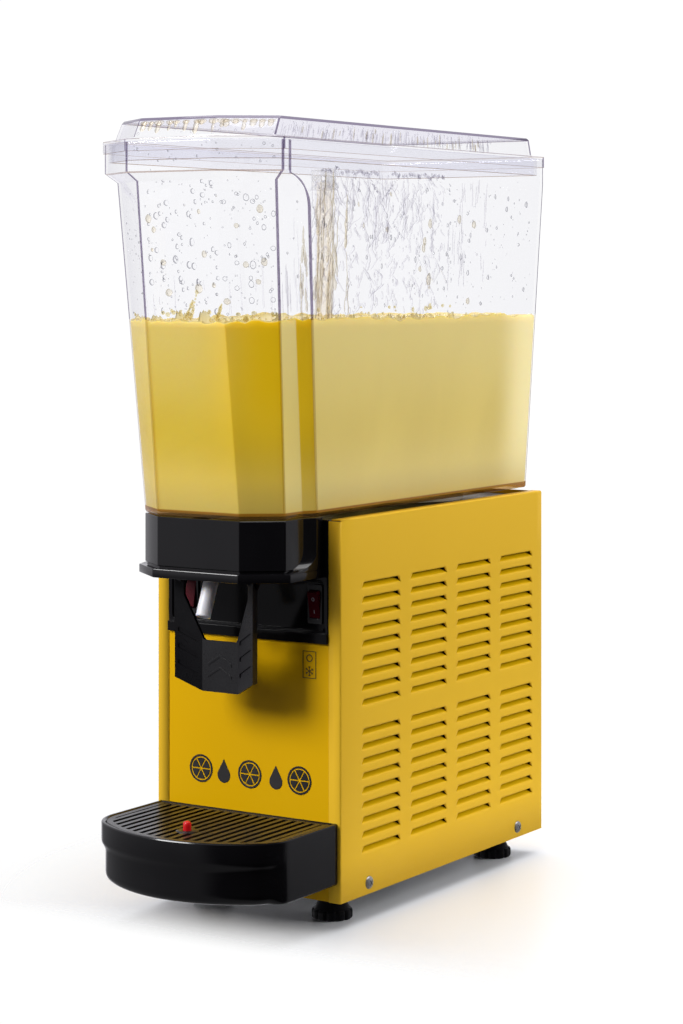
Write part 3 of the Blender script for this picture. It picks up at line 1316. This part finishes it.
def tray_base():
    """Points of the tray's outline, each with the direction in which it is inset."""
    c, r = (52.0, -70.0), 40.0
    front_c, front_r = 1.0, 128.0
    bend = math.atan2(c[1] - front_c, c[0])
    rows = [((92.0, -0.3), (1, 1))] + [((92.0, y), (1, 0)) for y in (-20.0, -40.0, -58.0, -66.0)]
    for k in range(13):
        a = bend * k / 12
        rows.append(((c[0] + r * math.cos(a), c[1] + r * math.sin(a)), (math.cos(a), math.sin(a))))
    for k in range(1, 19):
        a = mix(bend, -math.pi / 2, k / 18)
        rows.append(((front_r * math.cos(a), front_c + front_r * math.sin(a)),
                     (math.cos(a), math.sin(a))))
    return rows + [((-p[0], p[1]), (-n[0], n[1])) for p, n in reversed(rows[:-1])]


TRAY = tray_base()


def forward(y):
    """0 at the tray's sides and 1 along its front."""
    return smooth((-y - 76) / 13)


def tray_ring(z, w, back=None):
    """Outline of the tray inset by w, which can be a function of how far forward a point is."""
    ring = []
    for (x, y), (nx, ny) in TRAY:
        inset = w(forward(y)) if callable(w) else w
        new_y = back if back is not None and y > -1 else y - ny * inset
        ring.append((x - nx * inset, new_y, z))
    return ring


def tray():
    shape = Shape()
    edge = -0.3
    rings = [tray_ring(z, w, back) for z, w, back in (
        (88.6, 4.0, -3.3), (89.4, 3.4, -2.6), (90.0, 2.4, -1.6), (90.0, 1.4, -1.0),
        (89.6, 0.5, -0.5), (88.8, 0.0, edge), (74.5, 0.0, edge))]
    for z, k in ((72.5, 0.1), (70.0, 0.45), (67.5, 0.85), (65.0, 1.0)):
        rings.append(tray_ring(z, lambda f, k=k: 3.5 * k * f, edge))
    for a in (0, 15, 30, 45, 60, 75, 90):
        s, c = math.sin(math.radians(a)), 1 - math.cos(math.radians(a))
        wide = tray_ring(0, lambda f, c=c: 3.5 * f + mix(3.0, 9.0, f) * c, edge)
        rings.append([(x, y, mix(41.0 - 3.0 * s, 48.0 - 10.0 * s, forward(base[1])))
                      for (x, y, _), (base, _) in zip(wide, TRAY)])
    rings += [tray_ring(z, lambda f: mix(6.5, 14.5, f), -4.0) for z in (38.0, 57.8)]
    shape.skin(rings, caps=(False, True))
    inner = [(84.2, 4.1, -3.4), (83.9, 4.6, -4.0), (83.8, 7.0, -7.0), (64.0, 7.6, -7.6),
             (61.6, 9.0, -9.0), (61.0, 12.0, -12.0)]
    shape.skin([rings[0]] + [tray_ring(*row) for row in inner], caps=(False, True))
    arm_slots = [Shape().block((x - 3, x + 3), (-8, 2), (30, 58)) for x in (-60, 60)]
    place("drip_pan", carve(shape.mesh("tray"), *arm_slots), "tray", ["black_gloss"],
          stands_for=("drip_tray",), degrees=30)


tray()

FLOAT_AT = (0, -86.7, 0)


def grille():
    top, low, pitch = 89.3, 84.4, 9.15
    plate = Shape().solid([tray_ring(low, 4.6, -3.8), tray_ring(top - 0.5, 4.5, -3.7),
                           tray_ring(top, 5.0, -4.2)])
    edge = tray_ring(0, 9.5)

    def front_y(x):
        """Where a slot at x ends, a little behind the rim."""
        crossed = [mix(a[1], b[1], (x - a[0]) / (b[0] - a[0])) for a, b in zip(edge, edge[1:])
                   if min(a[0], b[0]) <= x <= max(a[0], b[0]) and abs(a[0] - b[0]) > 1e-6]
        return min(crossed) + 0.2

    cuts = []
    for i in range(-9, 10):
        x0, x1 = max(i * pitch - 2.3, -82.0), min(i * pitch + 2.3, 82.0)
        slot = fillet([(x0, front_y(x0)), (x1, front_y(x1)), (x1, -8.0), (x0, -8.0)], 0.9, 3)
        cuts.append(Shape().prism(slot, 80, 95))
    cuts.append(Shape().block((-84, 84), (-6.9, -5.9), (88.4, 92)))
    hole = Shape()
    hole.lathe([(0, 80), (9.4, 80), (9.4, 95), (0, 95)], FLOAT_AT, "z", 36)
    place("grille_plate", carve(plate.mesh("grille"), *cuts, hole), "grille", ["black_satin"],
          stands_for=("drip_grille",), bevel=0.45, degrees=30)
    boss = Shape()
    boss.loop_of_rings([[(FLOAT_AT[0] + a, FLOAT_AT[1] + b, z) for a, b in circle(r, 36)]
                        for r, z in ((3.9, 84.4), (3.9, 89.6), (4.3, 90.0), (8.0, 90.0),
                                     (9.0, 89.6), (9.8, 89.0), (9.8, 84.4))])
    piece("grille_boss", boss, "grille", ["black_satin"], bevel=0.3)
    pin = Shape()
    pin.lathe([(0, 97.4), (1.6, 97.2), (2.8, 96.5), (3.4, 95.2), (3.5, 93.5), (3.5, 72),
               (3.6, 71), (11.4, 70.7), (12, 70), (12, 63.4), (11.4, 62.7), (0, 62.7)],
              FLOAT_AT, "z", 32)
    piece("float_pin", pin, "float", ["bright_red"], slot="red_plastic",
          stands_for=("float_indicator",), degrees=40)


grille()


# ------------------------------------------------------------------ feet


def foot(name, x, y):
    def scallop(a, h):
        if h > 8.4:
            return 1.0
        return 1 - 0.085 * max(0.0, 1 - abs(math.cos(6 * a)) * 1.6) ** 0.8

    shape = Shape()
    shape.lathe([(0, 0.0), (15.6, 0.0), (16.6, 0.35), (17.3, 1.2), (17.5, 2.2), (17.5, 6.6),
                 (17.2, 7.6), (16.4, 8.3), (15.4, 8.5), (14.6, 10.0), (11.0, 17.5), (10.1, 19.0),
                 (9.2, 19.4), (9.0, 22.7), (4.0, 22.7), (4.0, 47.6), (3.4, 48.0), (0, 48.0)],
                (x, y, 0), "z", 96, scale=scallop)
    piece(name + "_pad", shape, name, ["black_rubber"], stands_for=(name,), degrees=40)


for row, depth in (("front", 38), ("rear", 316)):
    for hand, across in (("left", -62), ("right", 62)):
        foot(row + "_" + hand + "_foot", across, depth)


# ------------------------------------------------------------------ remaining CAD nodes

for name, obj in NODES.items():
    if not obj.hide_render:
        obj.data.materials.clear()
        obj.data.materials.append(MAT["frosted" if name == "spray_nozzle" else SLOT_OF[name]])


# ------------------------------------------------------------------ camera, floor and light


def camera():
    data = bpy.data.cameras.new("view")
    data.sensor_width = 36.0
    data.lens = 90.36
    data.shift_y = -0.2313
    data.clip_start, data.clip_end = 0.1, 60
    cam = new_object("view", data)
    cam.location = (1.25435, -1.92374, 0.5482)
    cam.rotation_euler = (math.radians(90), 0, math.radians(32.701))
    bpy.context.scene.camera = cam


def area(name, where, target, size, power):
    data = bpy.data.lights.new(name, "AREA")
    data.shape = "RECTANGLE"
    data.size, data.size_y = size
    data.energy = power
    light = new_object(name, data)
    light.location = where
    light.rotation_euler = (Vector(target) - Vector(where)).to_track_quat("-Z", "Y").to_euler()
    return light


def world():
    """Dim soft light from the right and bright light from behind, on a white background."""
    w = bpy.data.worlds.new("studio")
    bpy.context.scene.world = w
    w.use_nodes = True
    tree = w.node_tree
    tree.nodes.clear()
    coord = node(tree, "TexCoord").outputs["Generated"]
    side = ramp(tree, along(tree, coord, (0.9, -0.43, 0.0)), 0.30, 0.60, 0.48, 0.03)
    height = node(tree, "SeparateXYZ", {0: coord}).outputs["Z"]
    side = calc(tree, "MULTIPLY", side, ramp(tree, height, -0.35, 0.05, 0.35, 1.0))
    behind = ramp(tree, along(tree, coord, (-0.54, 0.84, 0.0)), 0.78, 0.95)
    side = ramp(tree, behind, 0.0, 1.0, side, 0.96, "LINEAR")
    lit = node(tree, "Background", {"Color": (0.96, 0.95, 1.0, 1), "Strength": side}).outputs[0]
    plain = node(tree, "Background", {"Color": (1, 1, 1, 1), "Strength": 1.02}).outputs[0]
    seen = node(tree, "LightPath").outputs["Is Camera Ray"]
    finish_material(tree, blend_shader(tree, seen, lit, plain), "World")


def floor():
    """A white floor with a faint gloss, which fades out around the machine."""
    mesh = bpy.data.meshes.new("floor")
    r = 14.0
    mesh.from_pydata([(-r, -r, 0), (r, -r, 0), (r, r, 0), (-r, r, 0)], [], [(0, 1, 2, 3)])
    obj = new_object("floor", mesh)
    m, tree = new_material("floor_white")
    white = node(tree, "BsdfDiffuse", {"Color": (0.95, 0.97, 1.0, 1)}).outputs[0]
    bumps = bump_of(tree, noise_of(tree, 900.0, 2.0), 0.15, 0.0005)
    gloss = node(tree, "BsdfGlossy", {"Color": (1, 1, 1, 1), "Roughness": 0.3,
                                      "Normal": bumps}).outputs[0]
    away = node(tree, "VectorMath", {0: object_place(tree), 1: (0.10, 0.06, 0.0)},
                operation="DISTANCE").outputs["Value"]
    depth = node(tree, "SeparateXYZ", {0: object_place(tree)}).outputs["Y"]
    fade = calc(tree, "MAXIMUM", ramp(tree, away, 0.20, 0.50),
                ramp(tree, depth, -0.23, -0.10, 1.0, 0.0))
    bare = node(tree, "BsdfTransparent").outputs[0]
    finish_material(tree, blend_shader(tree, fade, blend_shader(tree, 0.14, white, gloss), bare))
    mesh.materials.append(m)
    obj.visible_glossy = False
    return obj


camera()
world()
key = area("key", (-1.3, -2.15, 1.75), (0, -0.05, 0.35), (1.2, 1.2), 78)
spared = bpy.data.collections.new("spared_by_key")
spared.objects.link(floor())
key.light_linking.receiver_collection = spared
spared.collection_objects[0].light_linking.link_state = "EXCLUDE"
fill = area("right_fill", (2.2, 1.1, 1.1), (0, 0.05, 0.35), (1.4, 1.8), 38)
fill.visible_glossy = False
area("top", (0.1, 0.3, 2.6), (0, 0, 0.3), (2.6, 2.6), 62)

scene = bpy.context.scene
scene.view_settings.view_transform = "Standard"
scene.cycles.use_denoising = True
scene.cycles.caustics_reflective = False
scene.cycles.caustics_refractive = False
scene.cycles.max_bounces = 14
scene.cycles.transparent_max_bounces = 48
